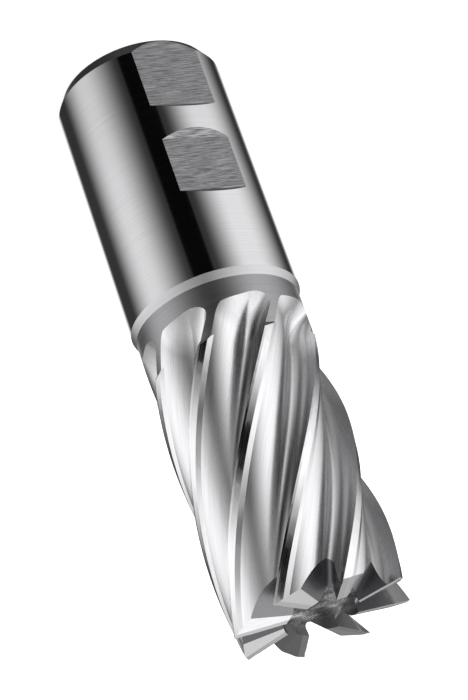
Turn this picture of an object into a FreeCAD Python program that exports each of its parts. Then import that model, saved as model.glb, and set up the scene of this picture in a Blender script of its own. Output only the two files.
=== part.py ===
import FreeCAD, Part
import math
import os

# Eight-tooth end mill of solid high-speed steel with a flatted parallel shank.
# Millimetres and degrees. The tool stands on the end of its shank with its axis on Z,
# and its two shank flats face -Y. The bar is turned, then the flats, the flutes, the
# end gashes and the end reliefs are cut in it, in the order of the real work.

# Turned blank
overall_length = 177.0
shank_diameter = 50.0
shank_length = 80.6
shank_end_chamfer_length = 4.2
shank_end_chamfer_depth = 2.44
shank_front_chamfer_length = 2.4
neck_diameter = 48.1
cutting_diameter = 50.0
cutting_length = 76.6
step_length = 1.7
recess_radius = 10.7
recess_depth = 4.2

# Bearing of the seam in the turned surfaces, clear of the flats and of the first tooth
seam_bearing = 52.5

# Flats for the clamping screws, the rear one open to the end of the shank
flat_distance = 22.8
rear_flat_length = 23.5
front_flat_start = 35.5
front_flat_length = 17.8
flat_wall_angle = 45.0
flat_bearing = -90.0

# Teeth and flutes, as seen across the axis
tooth_count = 8
first_tooth_bearing = -80.2
helix_lead = 281.0
radial_rake = 8.0
rake_depth = 3.1
flute_bottom_radius = 3.6
tooth_back_radius = 12.0
margin_width = 0.7
margin_relief = 9.0
land_width = 2.0
land_relief = 14.5
heel_width = 1.65
heel_relief = 36.0

# Run-out of the flutes behind the cutting length, where the wheel lifts out of the bar
runout_length = 14.0
runout_start = 1.3
runout_radius = 15.0
runout_lean = 0.30
runout_curl = 0.0175

# End teeth: edge, two reliefs, and the gash in front of each edge
edge_offset = 2.6
edge_dish = 1.67
end_margin_width = 1.9
end_margin_relief = 7.0
end_land_relief = 17.5
end_tooth_width = 7.9
end_tooth_taper = 16.1
gash_rake = 6.0
gash_back_slope = 48.0
gash_bottom_radius = 1.3

# How far the cutters overshoot the metal
clear = 8.0
relief_overrun = 2.0
relief_lead = 0.8

# Sections of a flute: steps in each arc of the form, shares of the run-out's length at
# which sections lie, closer where the wheel rises steeply, and the spacing above it
arc_steps = 4
runout_shares = (1, 0.95, 0.88, 0.78, 0.64, 0.45, 0.22)
section_spacing = 13.0
section_growth = 3.0

tooth_pitch = 360.0 / tooth_count
shank_radius = shank_diameter / 2
neck_radius = neck_diameter / 2
cutting_radius = cutting_diameter / 2
step_top = overall_length - cutting_length
up = FreeCAD.Vector(0, 0, 1)
centre_line = FreeCAD.Vector(0, 0, 0)


def vec(x, y, z=0.0):
    return FreeCAD.Vector(x, y, z)


def polar(radius, degrees, z=0.0):
    """Point at a radius and bearing about the axis."""
    a = math.radians(degrees)
    return vec(radius * math.cos(a), radius * math.sin(a), z)


def bearing_of(point):
    return math.degrees(math.atan2(point.y, point.x))


def unit(direction):
    return direction * (1 / direction.Length)


def face_of(points):
    return Part.Face(Part.makePolygon(points + [points[0]]))


def turned(shape, degrees):
    """Copy of the shape turned about the axis."""
    copy = shape.copy()
    copy.rotate(centre_line, up, degrees)
    return copy


def make_blank():
    """Turned bar: shank, neck, step up to the cutting diameter, recess in the end."""
    outline = [
        vec(0, 0, 0),
        vec(shank_radius - shank_end_chamfer_depth, 0, 0),
        vec(shank_radius, 0, shank_end_chamfer_length),
        vec(shank_radius, 0, shank_length),
        vec(neck_radius, 0, shank_length + shank_front_chamfer_length),
        vec(neck_radius, 0, step_top - step_length),
        vec(cutting_radius, 0, step_top),
        vec(cutting_radius, 0, overall_length),
        vec(recess_radius, 0, overall_length),
        vec(recess_radius, 0, overall_length - recess_depth),
        vec(0, 0, overall_length - recess_depth),
    ]
    return turned(face_of(outline).revolve(centre_line, up, 360), seam_bearing)


def make_flat_cutter(start, length, open_start):
    """Cutter of one flat, with sloping end walls and room to leave the shank."""
    rise = shank_radius - flat_distance + clear
    run = rise / math.tan(math.radians(flat_wall_angle))
    end = start + length
    low = start - clear if open_start else start
    low_top = low if open_start else start - run
    outline = [
        vec(flat_distance, -shank_diameter, low),
        vec(flat_distance, -shank_diameter, end),
        vec(flat_distance + rise, -shank_diameter, end + run),
        vec(flat_distance + rise, -shank_diameter, low_top),
    ]
    return turned(face_of(outline).extrude(vec(0, 2 * shank_diameter, 0)), flat_bearing)


def arc_points(centre, first, last, count):
    """Evenly spaced points on the shorter arc from first to last, first left out."""
    start = math.radians(bearing_of(first - centre))
    sweep = math.radians(bearing_of(last - centre)) - start
    sweep = (sweep + math.pi) % (2 * math.pi) - math.pi
    radius = (first - centre).Length
    angles = [start + sweep * i / count for i in range(1, count + 1)]
    return [centre + vec(radius * math.cos(a), radius * math.sin(a)) for a in angles]


def land_corners():
    """Corners across the back of a tooth: edge, margin, land, and foot of the heel."""
    corners = [polar(cutting_radius, 0)]
    bands = (
        (margin_width, margin_relief),
        (land_width, land_relief),
        (heel_width, heel_relief),
    )
    for width, relief in bands:
        edge = corners[-1]
        corners.append(edge + polar(width, bearing_of(edge) - 90 - relief))
    return corners


def flute_form():
    """Tooth space across the axis: curve from the rake face round to the heel, and land.

    The space lies ahead of the cutting edge on +X. Its curve is the straight rake
    face, the bottom arc tangent to it, and the convex back of the tooth ahead, which
    touches the bottom arc and ends at the foot of that tooth's heel.
    """
    edge = polar(cutting_radius, 0)
    inward = polar(-1, radial_rake)
    ahead = polar(1, radial_rake + 90)
    land = [turned(Part.Vertex(p), tooth_pitch).Point for p in reversed(land_corners())]
    foot = land[0]
    rake_foot = edge + inward * rake_depth
    bottom_centre = rake_foot + ahead * flute_bottom_radius
    gap = foot - bottom_centre
    reach = flute_bottom_radius + tooth_back_radius
    along = (reach ** 2 - tooth_back_radius ** 2 + gap.Length ** 2) / (2 * gap.Length)
    aside = math.sqrt(reach ** 2 - along ** 2)
    way = unit(gap)
    back_centre = bottom_centre + way * along + vec(-way.y, way.x) * aside
    touch = bottom_centre + unit(back_centre - bottom_centre) * flute_bottom_radius
    curve = [edge - inward * clear, edge, edge + inward * (rake_depth / 2), rake_foot]
    curve += arc_points(bottom_centre, rake_foot, touch, arc_steps)
    curve += arc_points(back_centre, touch, foot, arc_steps)
    return curve, land[1:]


def lift(point, z):
    """How far the grinding wheel has risen at this point of the form and height.

    The wheel leaves the bar along an arc, which starts later towards the heel.
    """
    ahead = math.radians(max(0.0, bearing_of(point))) * point.Length
    begin = step_top + runout_start - runout_lean * ahead - runout_curl * ahead ** 2
    behind = min(max(0.0, begin - z), runout_radius)
    return runout_radius - math.sqrt(runout_radius ** 2 - behind ** 2)


def placed(point, z):
    """Point of the form at its height, lifted by the run-out and turned by the helix."""
    bearing = bearing_of(point) + (z - overall_length) * 360 / helix_lead
    return polar(point.Length + lift(point, z), bearing, z)


def lengths_along(points):
    """How far along the chain of points each point lies."""
    lengths = [0.0]
    for a, b in zip(points, points[1:]):
        lengths.append(lengths[-1] + (b - a).Length)
    return lengths


def flute_section(z, form, land):
    """Closed section of the flute cutter at one height."""
    points = [placed(p, z) for p in form]
    curve = Part.BSplineCurve()
    curve.interpolate(Points=points, Parameters=lengths_along(form))
    outside = placed(polar(cutting_radius + clear, bearing_of(land[-1])), z)
    corners = [points[-1]] + [placed(p, z) for p in land] + [outside, points[0]]
    sides = [Part.makeLine(a, b) for a, b in zip(corners, corners[1:])]
    return Part.Wire([curve.toShape()] + sides)


def make_flute_cutter():
    """Solid swept by the wheel in one flute: sections close together in the run-out."""
    form, land = flute_form()
    top = step_top + runout_start
    heights = [top - runout_length * share for share in runout_shares]
    while heights[-1] < overall_length + clear:
        step = heights[-1] - heights[-2] + section_growth
        heights.append(heights[-1] + min(section_spacing, step))
    wires = [flute_section(z, form, land) for z in heights]
    return Part.makeLoft(wires, True, False, False, 3)


def end_tooth_directions():
    """Ways along the end edge inward from its tip on +X, and squarely behind it."""
    lean = math.degrees(math.asin(edge_offset / cutting_radius))
    return polar(-1, lean), polar(-1, lean + 90)


def relief_drop(behind):
    """Depth of the end tooth's back below its edge, at a distance behind the edge."""
    margin = min(behind, end_margin_width)
    rest = max(0.0, behind - end_margin_width)
    drop = margin * math.tan(math.radians(end_margin_relief))
    return drop + rest * math.tan(math.radians(end_land_relief))


def end_tooth_point(inward_distance, behind):
    """Point on the back of the end tooth whose tip is on +X."""
    inward, backward = end_tooth_directions()
    dish = inward_distance * math.tan(math.radians(edge_dish))
    tip = polar(cutting_radius, 0, overall_length)
    return tip + inward * inward_distance + backward * behind - up * (relief_drop(behind) + dish)


def make_relief_cutter():
    """Prism over one end tooth that leaves its margin and the steeper land behind."""
    reach = cutting_radius - recess_radius + 2 * relief_overrun
    stations = (-relief_lead, end_margin_width, end_tooth_width)
    low = [end_tooth_point(-relief_overrun, s) for s in stations]
    high = [vec(p.x, p.y, overall_length + clear) for p in (low[-1], low[0])]
    far = end_tooth_point(reach, 0) - end_tooth_point(0, 0)
    return face_of(low + high).extrude(far)


def gash_heel_point(inward_distance):
    """Point on the edge where the back of the tooth ahead falls into the gash."""
    width = end_tooth_width - inward_distance * math.tan(math.radians(end_tooth_taper))
    point = end_tooth_point(inward_distance, width)
    return turned(Part.Vertex(point), tooth_pitch).Point


def make_gash_cutter():
    """Wheel's path in front of one end edge: rake face, round bottom, sloping back."""
    inward, backward = end_tooth_directions()
    tip = polar(cutting_radius, 0, overall_length)
    undercut = backward * math.sin(math.radians(gash_rake)) - up * math.cos(math.radians(gash_rake))
    rake_normal = unit(inward.cross(undercut))
    outer = gash_heel_point(0)
    inner = gash_heel_point(cutting_radius - recess_radius)
    heel = unit(outer - inner)
    level = unit(up.cross(heel))
    if level.dot(backward) < 0:
        level = level * -1
    slope = math.radians(gash_back_slope)
    fall = level * math.cos(slope) - up * math.sin(slope)
    back_normal = unit(heel.cross(fall))
    # the line where the two walls would meet, running outward and down
    line = unit(rake_normal.cross(back_normal))
    if line.z > 0:
        line = line * -1
    corner = inner + fall * ((tip - inner).dot(rake_normal) / fall.dot(rake_normal))
    corner = corner - line * ((vec(corner.x, corner.y).Length - recess_radius / 2) / abs(line.dot(inward)))
    rake_way = line.cross(rake_normal)
    back_way = line.cross(back_normal)
    if rake_way.z < 0:
        rake_way = rake_way * -1
    if back_way.z < 0:
        back_way = back_way * -1
    half = rake_way.getAngle(back_way) / 2
    middle = unit(rake_way + back_way)
    touch = gash_bottom_radius / math.tan(half)
    bottom = corner + middle * (gash_bottom_radius / math.sin(half) - gash_bottom_radius)
    arc = Part.Arc(corner + back_way * touch, bottom, corner + rake_way * touch)
    tall = cutting_radius
    rake_top = corner + rake_way * tall
    back_top = corner + back_way * tall
    sides = [
        Part.makeLine(corner + rake_way * touch, rake_top),
        Part.makeLine(rake_top, back_top),
        Part.makeLine(back_top, corner + back_way * touch),
    ]
    return Part.Face(Part.Wire([arc.toShape()] + sides)).extrude(line * cutting_diameter)


def cut_at_each_tooth(body, cutter):
    for i in range(tooth_count):
        body = body.cut(turned(cutter, first_tooth_bearing + tooth_pitch * i))
    return body


def make_endmill():
    body = make_blank()
    body = body.cut(make_flat_cutter(0, rear_flat_length, True))
    body = body.cut(make_flat_cutter(front_flat_start, front_flat_length, False))
    for cutter in (make_flute_cutter(), make_gash_cutter(), make_relief_cutter()):
        body = cut_at_each_tooth(body, cutter)
    return body


if __name__ == "__main__":
    os.makedirs("parts", exist_ok=True)
    make_endmill().exportStep("parts/endmill.step")
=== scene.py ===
"""Looks of the end mill: ground and polished steel on the machined solid, in a plain studio."""

import math

import bpy
import numpy as np
from mathutils import Matrix

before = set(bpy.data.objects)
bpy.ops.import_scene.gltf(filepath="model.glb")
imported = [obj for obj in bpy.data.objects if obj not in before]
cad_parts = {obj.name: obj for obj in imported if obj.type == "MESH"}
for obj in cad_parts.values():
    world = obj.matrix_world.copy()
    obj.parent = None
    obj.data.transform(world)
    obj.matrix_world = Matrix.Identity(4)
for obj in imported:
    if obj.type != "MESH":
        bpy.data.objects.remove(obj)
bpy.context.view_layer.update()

bl_info = {
    "name": "End mill finish",
    "version": (1, 0, 0),
    "blender": (4, 5, 0),
    "location": "View3D > Sidebar > End mill",
    "description": "Steel finishes and studio for a large end mill with a flatted shank",
    "category": "Object",
}

# Places on the tool, in metres above the end of the shank it stands on. Faces below the
# first are the end itself.
SHANK_END = 0.001
CHAMFER_TOP = 0.0042
SHANK_TOP = 0.0806
RING_TOP = 0.0830
STEP_FOOT = 0.0987
STEP_TOP = 0.1004
END_FOOT = 0.165
TOOL_TOP = 0.177

# Radii, and the distance of the flats from the axis. SLACK is how far the centre of a face
# may lie from the surface that it belongs to.
SLACK = 0.0001
NECK_RADIUS = 0.02405
LAND_INNER_RADIUS = 0.0232
FLAT_DEPTH = 0.0228
RECESS_RADIUS = 0.0107

# Helix and teeth. Bearings are in degrees round the axis, from +X
HELIX_LEAD = 0.281
FIRST_TOOTH = -80.2
TEETH = 8
LAND_ANGLE = 9.6
SPACE_START = math.radians(-3)
SPACE_END = math.radians(42)

# Section of a tooth space across the axis, with the cutting edge on +X: straight rake face,
# bottom arc, and the convex back of the tooth ahead
RAKE_ANGLE = math.radians(8)
RAKE_FOOT = (0.0219302, -0.0004314, 0.0)
BOTTOM_CENTRE = (0.0214291, 0.0031335, 0.0)
BOTTOM_RADIUS = 0.0036
BACK_CENTRE = (0.007612, 0.0103755, 0.0)
# No flute is as deep as this radius
FLUTE_FLOOR = 0.0175

# Run-out: the wheel leaves along an arc, which starts later towards the heel
RUNOUT_TOP = 0.1017
RUNOUT_LEAN = 0.3
RUNOUT_CURL = 17.5
RUNOUT_RADIUS = 0.015
RUNOUT_LIMIT = 0.98 * RUNOUT_RADIUS
LIFT_ROUNDS = 4

# Walls of a gash: bearing of the normal from a tooth, its rise, and its distance from the
# origin. The round between the walls starts and ends this far off them.
GASH_RAKE = (5.96, -0.1045, -0.02108)
GASH_BACK = (37.932, 0.6686, 0.12036)
GASH_SKIN = 0.00001
GASH_ROUND = 0.002

LEVEL = (1.0, 1.0, 0.0)
UPWARD = (0.0, 0.0, 1.0)
WHITE = (1.0, 1.0, 1.0, 1.0)


class Finish(bpy.types.PropertyGroup):
    """Steel and its machining marks."""

    steel: bpy.props.FloatVectorProperty(
        name="Steel",
        description="Colour of the bare high-speed steel",
        subtype="COLOR",
        min=0.0,
        max=1.0,
        default=(0.62, 0.62, 0.63),
    )
    shank_roughness: bpy.props.FloatProperty(
        name="Shank roughness",
        description="Roughness of the ground shank",
        min=0.0,
        max=1.0,
        default=0.08,
        subtype="FACTOR",
    )
    flute_roughness: bpy.props.FloatProperty(
        name="Flute roughness",
        description="Roughness of the polished flutes",
        min=0.0,
        max=1.0,
        default=0.27,
        subtype="FACTOR",
    )
    land_roughness: bpy.props.FloatProperty(
        name="Land roughness",
        description="Roughness of the ground lands behind the edges",
        min=0.0,
        max=1.0,
        default=0.14,
        subtype="FACTOR",
    )
    turned_roughness: bpy.props.FloatProperty(
        name="Neck roughness",
        description="Roughness of the turned neck",
        min=0.0,
        max=1.0,
        default=0.3,
        subtype="FACTOR",
    )
    milled_roughness: bpy.props.FloatProperty(
        name="Flat roughness",
        description="Roughness of the milled flats",
        min=0.0,
        max=1.0,
        default=0.42,
        subtype="FACTOR",
    )
    recess_roughness: bpy.props.FloatProperty(
        name="Recess roughness",
        description="Roughness of the floor of the centre recess",
        min=0.0,
        max=1.0,
        default=0.25,
        subtype="FACTOR",
    )


class Studio(bpy.types.PropertyGroup):
    """Floor and light."""

    floor_colour: bpy.props.FloatVectorProperty(
        name="Floor",
        description="Colour of the floor",
        subtype="COLOR",
        min=0.0,
        max=1.0,
        default=(0.9, 0.9, 0.9),
    )
    floor_size: bpy.props.FloatProperty(
        name="Floor size",
        description="Width of the floor",
        subtype="DISTANCE",
        unit="LENGTH",
        default=60.0,
    )
    floor_lift: bpy.props.FloatProperty(
        name="Floor lift",
        description="Light that the floor adds for the camera alone, so that it shows white",
        min=0.0,
        default=0.75,
    )
    box_strength: bpy.props.FloatProperty(
        name="Softboxes",
        description="Brightness of the softboxes that the steel mirrors",
        min=0.0,
        default=1.0,
    )
    box_limit: bpy.props.FloatProperty(
        name="Softbox limit",
        description="Brightness that the softboxes reach at most",
        min=0.0,
        default=1.6,
    )


# Node building

class Nodes:
    """Short names for laying out nodes in a tree."""

    def __init__(self, tree):
        self.tree = tree

    def add(self, kind, *links, **values):
        """New node. Links feed its inputs in order, and values set its properties."""
        node = self.tree.nodes.new(kind)
        for name, value in values.items():
            setattr(node, name, value)
        for place, source in enumerate(links):
            self.feed(node.inputs[place], source)
        return node

    def feed(self, socket, source):
        """Links a socket to its source, or sets it to a constant."""
        if isinstance(source, (int, float, tuple)):
            socket.default_value = source
        else:
            self.tree.links.new(source, socket)

    # Numbers

    def maths(self, operation, *links):
        return self.add("ShaderNodeMath", *links, operation=operation).outputs[0]

    def plus(self, first, second):
        return self.maths("ADD", first, second)

    def minus(self, first, second):
        return self.maths("SUBTRACT", first, second)

    def times(self, first, second):
        return self.maths("MULTIPLY", first, second)

    def over(self, first, second):
        return self.maths("DIVIDE", first, second)

    def ramp(self, source, low, high, to_low=0.0, to_high=1.0, smooth=True):
        """Value taken from one range to another, with soft ends where it is smooth."""
        kind = "SMOOTHSTEP" if smooth else "LINEAR"
        node = self.add("ShaderNodeMapRange", source, low, high, to_low, to_high,
                        interpolation_type=kind)
        return node.outputs[0]

    def noise(self, place, scale, detail=2.0, roughness=0.5):
        node = self.add("ShaderNodeTexNoise", noise_dimensions="3D")
        self.feed(node.inputs["Vector"], place)
        node.inputs["Scale"].default_value = scale
        node.inputs["Detail"].default_value = detail
        node.inputs["Roughness"].default_value = roughness
        return node.outputs[0]

    # Vectors

    def place(self):
        """Place on the tool, in metres."""
        return self.add("ShaderNodeTexCoord").outputs["Object"]

    def split(self, vector):
        return self.add("ShaderNodeSeparateXYZ", vector).outputs

    def joined(self, x, y, z):
        return self.add("ShaderNodeCombineXYZ", x, y, z).outputs[0]

    def vector(self, operation, *links):
        node = self.add("ShaderNodeVectorMath", *links, operation=operation)
        return node.outputs["Value" if operation in ("DOT_PRODUCT", "LENGTH") else "Vector"]

    def scaled(self, vector, factor):
        node = self.add("ShaderNodeVectorMath", vector, operation="SCALE")
        self.feed(node.inputs["Scale"], factor)
        return node.outputs[0]

    def rotated(self, vector, angle, axis):
        node = self.add("ShaderNodeVectorRotate", rotation_type=axis)
        self.feed(node.inputs["Vector"], vector)
        self.feed(node.inputs["Angle"], angle)
        return node.outputs[0]

    def in_world(self, normal):
        """Normal of the tool's surface, carried over to the world."""
        node = self.add("ShaderNodeVectorTransform", normal, vector_type="NORMAL",
                        convert_from="OBJECT", convert_to="WORLD")
        return node.outputs[0]

    def choose(self, mask, first, second):
        """First vector where the mask is 0, second where it is 1."""
        node = self.add("ShaderNodeMix", data_type="VECTOR")
        for place, source in ((0, mask), (4, first), (5, second)):
            self.feed(node.inputs[place], source)
        return node.outputs[1]


def new_group(name, inputs, outputs):
    """Shader node group with named sockets, and its tree's two ends."""
    group = bpy.data.node_groups.new(name, "ShaderNodeTree")
    for label, value in inputs:
        socket = group.interface.new_socket(label, in_out="INPUT", socket_type="NodeSocketFloat")
        socket.default_value = value
    for label in outputs:
        kind = "NodeSocketVector" if label == "Normal" else "NodeSocketFloat"
        group.interface.new_socket(label, in_out="OUTPUT", socket_type=kind)
    nodes = Nodes(group)
    return group, nodes, nodes.add("NodeGroupInput"), nodes.add("NodeGroupOutput")


# Shapes: exact normals under the marks

def round_surface():
    """Normal of a cylinder round the tool's axis."""
    if "Round surface" in bpy.data.node_groups:
        return bpy.data.node_groups["Round surface"]
    group, n, given, out = new_group("Round surface", [], ["Normal"])
    outward = n.vector("NORMALIZE", n.vector("MULTIPLY", n.place(), LEVEL))
    n.feed(out.inputs["Normal"], n.in_world(outward))
    return group


def flute_surface():
    """Exact normal of the helical flutes, their run-outs included.

    A point is turned back by the helix and moved in by the wheel's lift, which puts it on
    the section of its tooth space. The section's normal there is then carried back.
    """
    group, n, given, out = new_group("Flute surface", [], ["Normal"])
    place = n.place()
    x, y, z = n.split(place)
    level = n.vector("MULTIPLY", place, LEVEL)
    radius = n.vector("LENGTH", level)

    # Angle ahead of the cutting edge at this height
    twist = 2 * math.pi / HELIX_LEAD
    ahead = n.minus(n.maths("ARCTAN2", y, x), n.times(z, twist))
    ahead = n.plus(ahead, twist * TOOL_TOP - math.radians(FIRST_TOOTH))
    ahead = n.maths("WRAP", ahead, SPACE_END, SPACE_START)

    # The lift depends on the radius that it leads to, so it is found in a few rounds
    inner = radius
    for _ in range(LIFT_ROUNDS):
        arc, passed, root = run_out(n, z, ahead, inner)
        inner = n.plus(radius, n.minus(root, RUNOUT_RADIUS))

    outward = n.joined(n.maths("COSINE", ahead), n.maths("SINE", ahead), 0.0)
    normal = section_normal(n, n.scaled(outward, inner))
    along_radius = n.vector("DOT_PRODUCT", normal, outward)
    sideways = n.vector("DOT_PRODUCT", normal, n.vector("CROSS_PRODUCT", UPWARD, outward))

    # Back out of the section: the run-out tips the normal up and towards the heel
    slope = n.over(passed, root)
    curl = n.times(arc, 2 * RUNOUT_CURL)
    lean = n.times(slope, n.minus(-RUNOUT_LEAN, curl))
    radial = n.over(along_radius, n.plus(1.0, n.times(lean, ahead)))
    turning = n.times(inner, n.minus(sideways, n.times(radial, lean)))
    rising = n.minus(n.times(radial, slope), n.times(turning, twist))

    here = n.vector("NORMALIZE", level)
    round_way = n.vector("CROSS_PRODUCT", UPWARD, here)
    whole = n.vector("ADD", n.scaled(here, radial), n.scaled(round_way, n.over(turning, radius)))
    whole = n.vector("ADD", whole, n.joined(0.0, 0.0, rising))
    n.feed(out.inputs["Normal"], n.in_world(n.vector("NORMALIZE", whole)))
    return group


def run_out(n, z, ahead, inner):
    """Arc from the cutting edge, way into the run-out, and the wheel's radius left there."""
    arc = n.times(n.maths("MAXIMUM", ahead, 0.0), inner)
    late = n.plus(n.times(arc, RUNOUT_CURL), RUNOUT_LEAN)
    start = n.minus(RUNOUT_TOP, n.times(arc, late))
    passed = n.maths("MAXIMUM", n.minus(start, z), 0.0)
    passed = n.maths("MINIMUM", passed, RUNOUT_LIMIT)
    root = n.maths("SQRT", n.minus(RUNOUT_RADIUS ** 2, n.times(passed, passed)))
    return arc, passed, root


def section_normal(n, point):
    """Normal of the tooth space's section at a point on it."""
    outer = (math.cos(RAKE_ANGLE), math.sin(RAKE_ANGLE), 0.0)
    rake = (-math.sin(RAKE_ANGLE), math.cos(RAKE_ANGLE), 0.0)
    across = (BACK_CENTRE[1] - BOTTOM_CENTRE[1], BOTTOM_CENTRE[0] - BACK_CENTRE[0], 0.0)

    to_centre = n.vector("SUBTRACT", BOTTOM_CENTRE, point)
    bottom = n.vector("NORMALIZE", to_centre)
    back = n.vector("NORMALIZE", n.vector("SUBTRACT", point, BACK_CENTRE))
    past_touch = n.maths("LESS_THAN", n.vector("DOT_PRODUCT", to_centre, across), 0.0)

    from_foot = n.vector("SUBTRACT", point, RAKE_FOOT)
    beyond_foot = n.maths("GREATER_THAN", n.vector("DOT_PRODUCT", from_foot, outer), 0.0)
    near_rake = n.maths("LESS_THAN", n.vector("DOT_PRODUCT", from_foot, rake), BOTTOM_RADIUS)

    curved = n.choose(past_touch, bottom, back)
    return n.choose(n.times(beyond_foot, near_rake), curved, rake)


# Marks: relief and tone that machining leaves, and painted glint highlights on the rough recess
# floor

def turned_lines():
    """Fine rings left by turning and cylindrical grinding."""
    if "Turned lines" in bpy.data.node_groups:
        return bpy.data.node_groups["Turned lines"]
    inputs = [("Pitch", 0.0004), ("Streaks", 0.5), ("Blotch", 0.5)]
    group, n, given, out = new_group("Turned lines", inputs, ["Height", "Tone"])
    place = n.place()
    x, y, z = n.split(place)
    radius = n.vector("LENGTH", n.joined(x, y, 0.0))
    # The radius has its share, so that end faces and cones get rings too
    radius_share = 0.7
    changes_per_metre = 12.0
    wide_streaks = (2.0, 2.0, 0.13)
    blotches_per_metre = 55.0
    ring = n.plus(z, n.times(radius, radius_share))
    line_place = n.joined(n.times(x, changes_per_metre), n.times(y, changes_per_metre),
                          n.over(ring, given.outputs["Pitch"]))
    lines = n.noise(line_place, 1.0, 3.0, 0.6)
    wide = n.noise(n.vector("MULTIPLY", line_place, wide_streaks), 1.0, 2.0, 0.5)
    blotch = n.noise(place, blotches_per_metre, 3.0, 0.55)
    blotches = n.times(n.times(blotch, given.outputs["Blotch"]), 0.8)
    n.feed(out.inputs["Height"], n.plus(lines, n.times(wide, given.outputs["Streaks"])))
    n.feed(out.inputs["Tone"], n.plus(n.times(lines, 0.6), blotches))
    return group


def helical_lines():
    """Grinding and polishing lines that run along the flutes."""
    if "Helical lines" in bpy.data.node_groups:
        return bpy.data.node_groups["Helical lines"]
    inputs = [("Pitch", 0.0004), ("Waves", 0.5)]
    group, n, given, out = new_group("Helical lines", inputs, ["Height", "Tone"])
    x, y, z = n.split(n.place())
    turn = n.times(z, -2 * math.pi / HELIX_LEAD)
    across = n.rotated(n.joined(x, y, 0.0), turn, "Z_AXIS")
    # A little of the height, so that no line runs the whole length of the tool
    height_share = 0.03
    waves_per_metre = 260.0
    short_waves = (1.0, 1.0, 4.0)
    unwound = n.vector("ADD", across, n.joined(0.0, 0.0, n.times(z, height_share)))
    lines = n.noise(n.scaled(unwound, n.over(1.0, given.outputs["Pitch"])), 1.0, 3.0, 0.6)
    waves = n.noise(n.vector("MULTIPLY", unwound, short_waves), waves_per_metre, 2.0, 0.5)
    n.feed(out.inputs["Height"], n.plus(lines, n.times(waves, given.outputs["Waves"])))
    n.feed(out.inputs["Tone"], lines)
    return group


def straight_lines():
    """Streaks of a face mill or a cup wheel, in one direction across a flat face."""
    if "Straight lines" in bpy.data.node_groups:
        return bpy.data.node_groups["Straight lines"]
    inputs = [("Pitch", 0.0004), ("Direction", 0.0), ("Length", 0.02)]
    group, n, given, out = new_group("Straight lines", inputs, ["Height", "Tone"])
    x, y, z = n.split(n.rotated(n.place(), given.outputs["Direction"], "Y_AXIS"))
    pitch = given.outputs["Pitch"]
    cell = n.joined(n.over(x, given.outputs["Length"]), n.over(y, pitch), n.over(z, pitch))
    lines = n.noise(cell, 1.0, 5.0, 0.78)
    n.feed(out.inputs["Height"], lines)
    n.feed(out.inputs["Tone"], lines)
    return group


def rough_skin_painted_glints():
    """Lumps and swells of a floor left as it was rough-cut; its tone paints glint highlights and
    brighter patches of reflected light into the colour.
    """
    inputs = [("Pitch", 0.0004), ("Cloud", 0.004)]
    group, n, given, out = new_group("Rough skin and painted glints", inputs, ["Height", "Tone"])
    place = n.place()
    lumps = n.noise(n.scaled(place, n.over(1.0, given.outputs["Pitch"])), 1.0, 3.0, 0.6)
    swell_and_painted_patch = n.noise(n.scaled(place, n.over(1.0, given.outputs["Cloud"])), 1.0, 1.0, 0.5)
    # The clouds are gentle swells, and many times as high as the lumps
    cloud_height = 25.0
    # Painted highlights: glint tone on the highest lumps and brighter patches in the swells
    # lighten the colour
    painted_glint_start, painted_glint_tone, painted_patch_tone = 0.6, 1.4, 1.2
    painted_glints = n.times(n.minus(lumps, painted_glint_start), painted_glint_tone)
    n.feed(out.inputs["Height"], n.plus(lumps, n.times(swell_and_painted_patch, cloud_height)))
    n.feed(out.inputs["Tone"], n.plus(painted_glints, n.times(swell_and_painted_patch, painted_patch_tone)))
    return group


# Relief in metres that most ground and turned finishes share, and the range of the marks'
# tone that the colour and the roughness follow
FINE_DEPTH = 0.000003
TONE_RANGE = (0.3, 0.8)


def steel(name, marks, values, roughness, depth, tone, colour=None, spread=0.5, shape=None):
    """Metal whose colour, roughness and relief follow one group of machining marks.

    Tone and spread are the shares by which the colour and the roughness vary. The shape is
    a group that gives the exact normal of the surface under the marks.
    """
    finish = bpy.context.scene.mill_finish
    colour = colour or tuple(finish.steel)
    material = bpy.data.materials.new(name)
    material.use_nodes = True
    n = Nodes(material.node_tree)
    metal = material.node_tree.nodes["Principled BSDF"]
    metal.inputs["Metallic"].default_value = 1.0
    group = n.add("ShaderNodeGroup", node_tree=marks)
    for label, value in values.items():
        group.inputs[label].default_value = value

    light = tuple(min(1.0, c * (1 + tone)) for c in colour) + (1.0,)
    dark = tuple(c * (1 - tone) for c in colour) + (1.0,)
    shade = n.add("ShaderNodeMix", data_type="RGBA")
    n.feed(shade.inputs[0], n.ramp(group.outputs["Tone"], *TONE_RANGE, smooth=False))
    n.feed(shade.inputs[6], dark)
    n.feed(shade.inputs[7], light)
    n.feed(metal.inputs["Base Color"], shade.outputs[2])

    dull, shiny = roughness * (1 + spread), roughness * (1 - spread)
    gloss = n.ramp(group.outputs["Tone"], *TONE_RANGE, dull, shiny, smooth=False)
    n.feed(metal.inputs["Roughness"], gloss)

    bump = n.add("ShaderNodeBump")
    bump.inputs["Strength"].default_value = 1.0
    bump.inputs["Distance"].default_value = depth
    n.feed(bump.inputs["Height"], group.outputs["Height"])
    if shape:
        exact = n.add("ShaderNodeGroup", node_tree=shape)
        n.feed(bump.inputs["Normal"], exact.outputs["Normal"])
    n.feed(metal.inputs["Normal"], bump.outputs[0])
    return material


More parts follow.
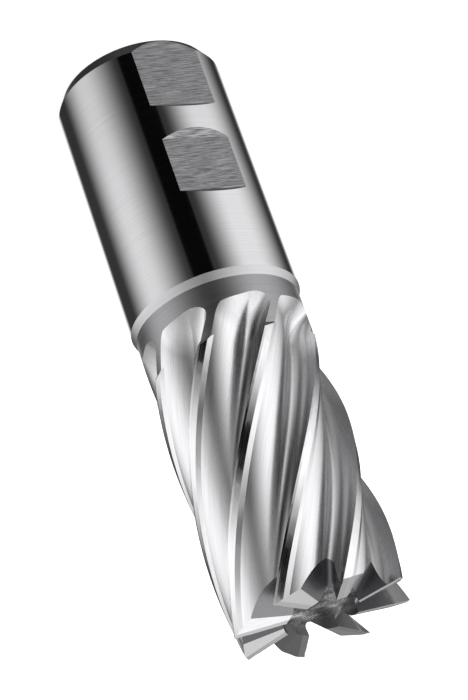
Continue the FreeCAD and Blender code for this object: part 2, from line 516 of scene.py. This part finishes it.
class Faces:
    """Where each face of the tool lies and which way it looks."""

    def __init__(self):
        self.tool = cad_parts["endmill"]
        mesh = self.tool.data
        count = len(mesh.polygons)
        centre = np.empty(count * 3)
        normal = np.empty(count * 3)
        mesh.polygons.foreach_get("center", centre)
        mesh.polygons.foreach_get("normal", normal)
        self.centre = centre.reshape(-1, 3)
        self.normal = normal.reshape(-1, 3)
        self.x, self.y, self.z = self.centre.T
        self.radius = np.hypot(self.x, self.y)
        self.up = self.normal[:, 2]
        across = self.normal[:, 0] * self.x + self.normal[:, 1] * self.y
        self.outward = across / np.maximum(self.radius, 1e-9)
        bearing = np.degrees(np.arctan2(self.y, self.x))
        edge = FIRST_TOOTH + (self.z - TOOL_TOP) * 360 / HELIX_LEAD
        self.behind_edge = (edge - bearing) % (360 / TEETH)

    def gashes(self):
        """Faces of the eight end gashes: rake face, sloping back and the round between."""
        chosen = np.zeros(len(self.z), bool)
        for tooth in range(TEETH):
            rake, back = (self.gash_wall(bearing, up, tooth)
                          for bearing, up, _ in (GASH_RAKE, GASH_BACK))
            on_rake = self.normal @ rake > 0.9999
            on_back = self.normal @ back > 0.9999
            line = np.cross(rake, back)
            line /= np.linalg.norm(line)
            along = np.abs(self.normal @ line) < 0.05
            between = self.just_off(rake, GASH_RAKE[2]) & self.just_off(back, GASH_BACK[2])
            chosen |= on_rake | on_back | (along & between)
        return chosen & (self.z > END_FOOT)

    def gash_wall(self, bearing, up, tooth):
        """Direction that one wall of a gash looks in."""
        angle = math.radians(FIRST_TOOTH + bearing + tooth * 360 / TEETH)
        level = math.sqrt(1 - up * up)
        return np.array((level * math.cos(angle), level * math.sin(angle), up))

    def just_off(self, wall, distance):
        """Faces that lie a little way in front of a gash wall."""
        off = self.centre @ wall - distance
        return (off > GASH_SKIN) & (off < GASH_ROUND)

    def give(self, chosen, material):
        """Puts the material on the chosen faces, in a slot of its own."""
        mesh = self.tool.data
        if not chosen.any():
            raise RuntimeError(f"no face of the tool takes {material.name}")
        mesh.materials.append(material)
        index = np.empty(len(mesh.polygons), np.int32)
        mesh.polygons.foreach_get("material_index", index)
        index[chosen] = len(mesh.materials) - 1
        mesh.polygons.foreach_set("material_index", index)


# Operators

class MillPiece:
    """What the operators share: they finish one part of the tool each."""

    bl_options = {"REGISTER", "UNDO"}


class MILL_OT_flutes(MillPiece, bpy.types.Operator):
    """Polished steel on the flutes, and on every face that no later finish takes"""

    bl_idname = "mill.flutes"
    bl_label = "Finish flutes"

    def execute(self, context):
        finish = context.scene.mill_finish
        tool = Faces().tool
        tool.material_slots[0].material = steel(
            "polished_flute", helical_lines(), {"Pitch": 0.0005, "Waves": 0.2},
            finish.flute_roughness, FINE_DEPTH, tone=0.05, spread=0.2, shape=flute_surface())
        smooth = tool.modifiers.new("even_shading", "WEIGHTED_NORMAL")
        smooth.mode = "FACE_AREA_WITH_ANGLE"
        smooth.keep_sharp = True
        return {"FINISHED"}


class MILL_OT_lands(MillPiece, bpy.types.Operator):
    """Ground steel on the margins and lands behind the cutting edges"""

    bl_idname = "mill.lands"
    bl_label = "Finish lands"

    def execute(self, context):
        finish = context.scene.mill_finish
        faces = Faces()
        rim = (faces.radius > LAND_INNER_RADIUS) & (faces.outward > 0.5)
        chosen = (faces.z > STEP_FOOT) & rim & (faces.behind_edge < LAND_ANGLE)
        material = steel("ground_land", helical_lines(), {"Pitch": 0.0003, "Waves": 0.3},
                         finish.land_roughness, FINE_DEPTH, tone=0.06)
        faces.give(chosen, material)
        return {"FINISHED"}


class MILL_OT_shank(MillPiece, bpy.types.Operator):
    """Fine cylindrical grinding on the shank, and turning on its chamfer, end and ring; the rear
    chamfer's near-black colour is painted shade
    """

    bl_idname = "mill.shank"
    bl_label = "Finish shank"

    def execute(self, context):
        finish = context.scene.mill_finish
        faces = Faces()
        shank = faces.z < SHANK_TOP
        ground = steel("ground_shank", turned_lines(),
                       {"Pitch": 0.0005, "Streaks": 0.4, "Blotch": 0.4},
                       finish.shank_roughness, 0.0000005, tone=0.05, shape=round_surface())
        faces.give(shank, ground)

        turning = {"Pitch": 0.0003, "Streaks": 0.6, "Blotch": 0.5}
        # Painted shade: the rear chamfer's near-black colour stands in for the shadowed floor
        # that it mirrors; its turning lines are real marks
        dark = steel("turned_chamfer_painted_shade", turned_lines(), turning, finish.turned_roughness,
                     FINE_DEPTH, tone=0.15, colour=(0.12, 0.12, 0.125))
        faces.give(shank & (faces.z < CHAMFER_TOP), dark)

        bright = steel("turned_ring", turned_lines(), turning, finish.turned_roughness,
                       FINE_DEPTH, tone=0.1, colour=(0.5, 0.5, 0.51))
        end = (faces.z < SHANK_END) & (faces.up < -0.9)
        ring = (faces.z > SHANK_TOP) & (faces.z < RING_TOP)
        faces.give(end | ring, bright)
        return {"FINISHED"}


class MILL_OT_flats(MillPiece, bpy.types.Operator):
    """Cross milling on the two clamping flats and their sloping ends"""

    bl_idname = "mill.flats"
    bl_label = "Finish flats"

    def execute(self, context):
        finish = context.scene.mill_finish
        faces = Faces()
        level = (np.abs(faces.y + FLAT_DEPTH) < SLACK) & (faces.normal[:, 1] < -0.999)
        slope = (np.abs(faces.up) > 0.6) & (np.abs(faces.up) < 0.8) & (faces.z > CHAMFER_TOP)
        chosen = (faces.z < SHANK_TOP) & (faces.y < 0) & (level | slope)
        material = steel("milled_flat", straight_lines(),
                         {"Pitch": 0.0003, "Direction": math.radians(3), "Length": 0.007},
                         finish.milled_roughness, 0.00004, tone=0.95, colour=(0.36, 0.36, 0.37))
        faces.give(chosen, material)
        return {"FINISHED"}


class MILL_OT_neck(MillPiece, bpy.types.Operator):
    """Turning lines on the neck and the step up to the cutting diameter"""

    bl_idname = "mill.neck"
    bl_label = "Finish neck"

    def execute(self, context):
        finish = context.scene.mill_finish
        faces = Faces()
        neck = (faces.z > RING_TOP) & (faces.z < STEP_TOP) & (faces.outward > 0.5)
        turning = {"Pitch": 0.0003, "Streaks": 0.6, "Blotch": 0.4}
        look = {"depth": 0.000004, "tone": 0.12, "colour": (0.4, 0.4, 0.41)}

        straight = (np.abs(faces.radius - NECK_RADIUS) < SLACK) & (faces.outward > 0.9985)
        material = steel("turned_neck", turned_lines(), turning, finish.turned_roughness,
                         shape=round_surface(), **look)
        faces.give(neck & straight, material)

        cone = (faces.z > STEP_FOOT) & (faces.up < -0.3)
        material = steel("turned_step", turned_lines(), turning, finish.turned_roughness, **look)
        faces.give(neck & cone, material)
        return {"FINISHED"}


class MILL_OT_end(MillPiece, bpy.types.Operator):
    """Ground end teeth and gashes, and the wall and rough floor of the centre recess; painted
    shade darkens the gashes and the wall, and painted glint highlights light the floor
    """

    bl_idname = "mill.end"
    bl_label = "Finish end"

    def execute(self, context):
        finish = context.scene.mill_finish
        faces = Faces()
        top = faces.z > END_FOOT
        # Painted shade: the gashes' dark colour stands in for the self-shadow inside them; their
        # grinding lines are real marks
        gash = steel("ground_gash_painted_shade", straight_lines(),
                     {"Pitch": 0.0003, "Direction": math.radians(90), "Length": 0.006},
                     finish.turned_roughness, FINE_DEPTH, tone=0.15, colour=(0.24, 0.24, 0.25))
        faces.give(faces.gashes() | (top & (faces.radius < FLUTE_FLOOR)), gash)

        ground = steel("ground_end_tooth", straight_lines(),
                       {"Pitch": 0.0003, "Direction": 0.0, "Length": 0.004},
                       finish.land_roughness, FINE_DEPTH, tone=0.08)
        faces.give(top & (faces.up > 0.9), ground)

        recess = top & (faces.radius < RECESS_RADIUS + SLACK)
        # Painted shade: the recess wall's dark colour stands in for the shadow inside the
        # recess; its turning lines are real marks
        wall = steel("turned_recess_painted_shade", turned_lines(),
                     {"Pitch": 0.0009, "Streaks": 0.6, "Blotch": 0.6},
                     finish.turned_roughness, 0.00001, tone=0.35, colour=(0.26, 0.26, 0.265))
        faces.give(recess & (faces.outward < -0.9), wall)

        # Painted highlights: the floor's colour carries glint highlights and a brighter patch
        # that stand in for light reflected by a dish-shaped floor; its lumps are real relief
        rough = steel("rough_recess_painted_glints", rough_skin_painted_glints(), {"Pitch": 0.0006, "Cloud": 0.008},
                      finish.recess_roughness, 0.00008, tone=0.9, colour=(0.3, 0.3, 0.305))
        faces.give(recess & (faces.up > 0.999), rough)
        return {"FINISHED"}


class MILL_OT_stage(MillPiece, bpy.types.Operator):
    """Floor, softboxes and the camera of the photograph"""

    bl_idname = "mill.stage"
    bl_label = "Set the stage"

    # Camera of the photograph: its lens in millimetres, and its pose as a matrix
    LENS = 120.2345
    SENSOR = 36.0
    POSE = (
        (-0.896, -0.08483, 0.43588, 0.28432877),
        (-0.3293, -0.53158, -0.78037, -0.5120095),
        (0.2979, -0.84275, 0.44836, 0.38690316),
        (0.0, 0.0, 0.0, 1.0),
    )

    # Softboxes and black cards: bearings from the flats where each starts to show, is full,
    # starts to fade and is gone, the same four for its height above the horizon, all in
    # degrees, and how bright a softbox is or how much light a card takes
    SOFTBOXES = [
        ("low left", (-86, -28, -21, 32), (-91, -29, -26, -11), 0.66),
        ("low right", (44, 104, 109, 148), (-42, -21, -18, -12), 1.12),
        ("rim", (183, 187, 210, 238), (-54, -30, -26, -21), 0.37),
        ("high left", (-147, -42, 5, 30), (-23, -14, 15, 98), 1.44),
        ("high right", (45, 96, 99, 192), (-19, -12, 3, 52), 1.4),
        ("over", (-30, 5, 65, 93), (-15, 4, 22, 56), 0.52),
        ("back left", (-160, -148, -138, -110), (-10, 0, 55, 75), 0.5),
        ("back high", (-190, -170, -140, -120), (28, 44, 60, 80), 0.5),
    ]
    BLACK_CARDS = [
        ("narrow", (11, 15, 42, 47), (-25, -18, -5, 2), 0.95),
        ("wide", (-40, 17, 20, 47), (-45, -18, -13, 59), 0.93),
        ("behind", (148, 172, 236, 262), (-32, -25, -10, 0), 0.65),
    ]
    # Height above the horizon in degrees and brightness of the room there
    ROOM = [
        (-90, 0.33), (-70, 0.14), (-52, 0.1), (-36, 0.1), (-20, 0.19), (-5, 0.35),
        (10, 0.02), (25, 0.15), (42, 0.45), (60, 0.6), (90, 0.4),
    ]
    # The strip of the studio that the upright shank mirrors: its heights, the bearings of
    # its softboxes and of its black card, its room, and its dimmer foot
    STRIP = (-40, -36, -27, -22)
    STRIP_BOXES = [
        ((-113, -53, -37, 8), 1.16),
        ((42, 98, 103, 152), 1.06),
        ((175, 193, 223, 242), 1.16),
    ]
    STRIP_CARD = ((11, 13, 39, 42), 0.95)
    STRIP_ROOM = 0.05
    STRIP_FOOT = (-35.0, -30.0, 0.82, 1.0)

    def execute(self, context):
        studio = context.scene.mill_studio
        self.make_camera(context)
        self.make_world(context, studio)
        self.make_floor(context, studio)
        return {"FINISHED"}

    def make_camera(self, context):
        data = bpy.data.cameras.new("camera")
        camera = bpy.data.objects.new("camera", data)
        context.collection.objects.link(camera)
        data.lens = self.LENS
        data.sensor_width = self.SENSOR
        data.clip_start = 0.05
        data.clip_end = 100.0
        camera.matrix_world = Matrix(self.POSE)
        context.scene.camera = camera

    def make_world(self, context, studio):
        """Studio that the steel mirrors, and plain white for the camera."""
        world = bpy.data.worlds.new("studio")
        context.scene.world = world
        world.use_nodes = True
        tree = world.node_tree
        tree.nodes.clear()
        n = Nodes(tree)
        x, y, z = n.split(n.add("ShaderNodeTexCoord").outputs["Generated"])
        bearing = n.maths("DEGREES", n.maths("ARCTAN2", x, n.times(y, -1.0)))
        height = n.maths("DEGREES", n.maths("ARCSINE", z))
        light = self.studio_light(n, bearing, height, studio)
        strip = self.strip_light(n, bearing, height, studio)
        in_strip = self.upward(n, height, self.STRIP)
        light = n.plus(light, n.times(in_strip, n.minus(strip, light)))
        mirrored = n.add("ShaderNodeBackground", WHITE, light)
        seen = n.add("ShaderNodeBackground", WHITE, 1.0)
        path = n.add("ShaderNodeLightPath").outputs["Is Camera Ray"]
        mixed = n.add("ShaderNodeMixShader", path, mirrored.outputs[0], seen.outputs[0])
        n.add("ShaderNodeOutputWorld", mixed.outputs[0])

    def studio_light(self, n, bearing, height, studio):
        """Softboxes and room, less what the black cards take."""
        light = 0.0
        for _, bearings, heights, strength in self.SOFTBOXES:
            box = self.card(n, bearing, height, bearings, heights)
            light = n.plus(n.times(box, strength * studio.box_strength), light)
        light = n.maths("MINIMUM", light, studio.box_limit)
        light = n.plus(light, self.room_light(n, height))
        for _, bearings, heights, taken in self.BLACK_CARDS:
            card = self.card(n, bearing, height, bearings, heights)
            light = self.shaded(n, light, card, taken)
        return light

    def strip_light(self, n, bearing, height, studio):
        """Light of the strip that the shank mirrors."""
        light = self.STRIP_ROOM
        for bearings, strength in self.STRIP_BOXES:
            box = self.across(n, bearing, bearings)
            light = n.plus(n.times(box, strength * studio.box_strength), light)
        bearings, taken = self.STRIP_CARD
        light = self.shaded(n, light, self.across(n, bearing, bearings), taken)
        return n.times(light, n.ramp(height, *self.STRIP_FOOT))

    def across(self, n, bearing, bearings):
        """Mask of a range of bearings, with soft ends."""
        start, full, fade, end = bearings
        middle = (full + fade) / 2
        off = n.maths("WRAP", n.minus(bearing, middle), 180.0, -180.0)
        return n.times(n.ramp(off, start - middle, full - middle),
                       n.ramp(off, fade - middle, end - middle, 1.0, 0.0))

    def upward(self, n, height, heights):
        """Mask of a range of heights above the horizon, with soft ends."""
        start, full, fade, end = heights
        return n.times(n.ramp(height, start, full), n.ramp(height, fade, end, 1.0, 0.0))

    def card(self, n, bearing, height, bearings, heights):
        """Mask of a card that hangs round the tool, with soft ends each way."""
        return n.times(self.across(n, bearing, bearings), self.upward(n, height, heights))

    def shaded(self, n, light, mask, taken):
        """Light that is left where a black card takes its share."""
        return n.times(light, n.minus(1.0, n.times(mask, taken)))

    def room_light(self, n, height):
        """Grey of the room, which changes with the height."""
        ramp = n.add("ShaderNodeValToRGB", n.ramp(height, -90.0, 90.0, smooth=False))
        ramp.color_ramp.interpolation = "EASE"
        stops = ramp.color_ramp.elements
        for place, (degrees, level) in enumerate(self.ROOM):
            where = (degrees + 90) / 180
            if place == 0:
                stop = stops[0]
            elif place == len(self.ROOM) - 1:
                stop = stops[-1]
            else:
                stop = stops.new(where)
            stop.position = where
            stop.color = (level, level, level, 1.0)
        return ramp.outputs[0]

    def make_floor(self, context, studio):
        """Pale floor that shows the tool's shadow and that the steel doesn't mirror."""
        half = studio.floor_size / 2
        mesh = bpy.data.meshes.new("floor")
        corners = [(-half, -half, 0), (half, -half, 0), (half, half, 0), (-half, half, 0)]
        mesh.from_pydata(corners, [], [(0, 1, 2, 3)])
        floor = bpy.data.objects.new("floor", mesh)
        context.collection.objects.link(floor)
        floor.visible_glossy = False
        material = bpy.data.materials.new("floor")
        material.use_nodes = True
        tree = material.node_tree
        tree.nodes.clear()
        n = Nodes(tree)
        paint = n.add("ShaderNodeBsdfDiffuse", tuple(studio.floor_colour) + (1.0,))
        path = n.add("ShaderNodeLightPath").outputs["Is Camera Ray"]
        lift = n.add("ShaderNodeEmission", WHITE, n.times(path, studio.floor_lift))
        both = n.add("ShaderNodeAddShader", paint.outputs[0], lift.outputs[0])
        n.add("ShaderNodeOutputMaterial", both.outputs[0])
        mesh.materials.append(material)


class MILL_PT_panel(bpy.types.Panel):
    """Lists the finishes and the stage"""

    bl_idname = "MILL_PT_panel"
    bl_label = "End mill"
    bl_space_type = "VIEW_3D"
    bl_region_type = "UI"
    bl_category = "End mill"

    def draw(self, context):
        for settings in (context.scene.mill_finish, context.scene.mill_studio):
            box = self.layout.box()
            for name in settings.bl_rna.properties.keys():
                if name not in ("rna_type", "name"):
                    box.prop(settings, name)
        for operator in OPERATORS:
            self.layout.operator(operator.bl_idname)


OPERATORS = (
    MILL_OT_flutes,
    MILL_OT_lands,
    MILL_OT_shank,
    MILL_OT_flats,
    MILL_OT_neck,
    MILL_OT_end,
    MILL_OT_stage,
)
CLASSES = (Finish, Studio) + OPERATORS + (MILL_PT_panel,)


def register():
    for one in CLASSES:
        bpy.utils.register_class(one)
    bpy.types.Scene.mill_finish = bpy.props.PointerProperty(type=Finish)
    bpy.types.Scene.mill_studio = bpy.props.PointerProperty(type=Studio)


def unregister():
    del bpy.types.Scene.mill_studio
    del bpy.types.Scene.mill_finish
    for one in reversed(CLASSES):
        bpy.utils.unregister_class(one)


def main():
    register()
    bpy.context.scene.view_settings.view_transform = "Standard"
    for operator in OPERATORS:
        group, name = operator.bl_idname.split(".")
        getattr(getattr(bpy.ops, group), name)()


if __name__ == "__main__":
    main()
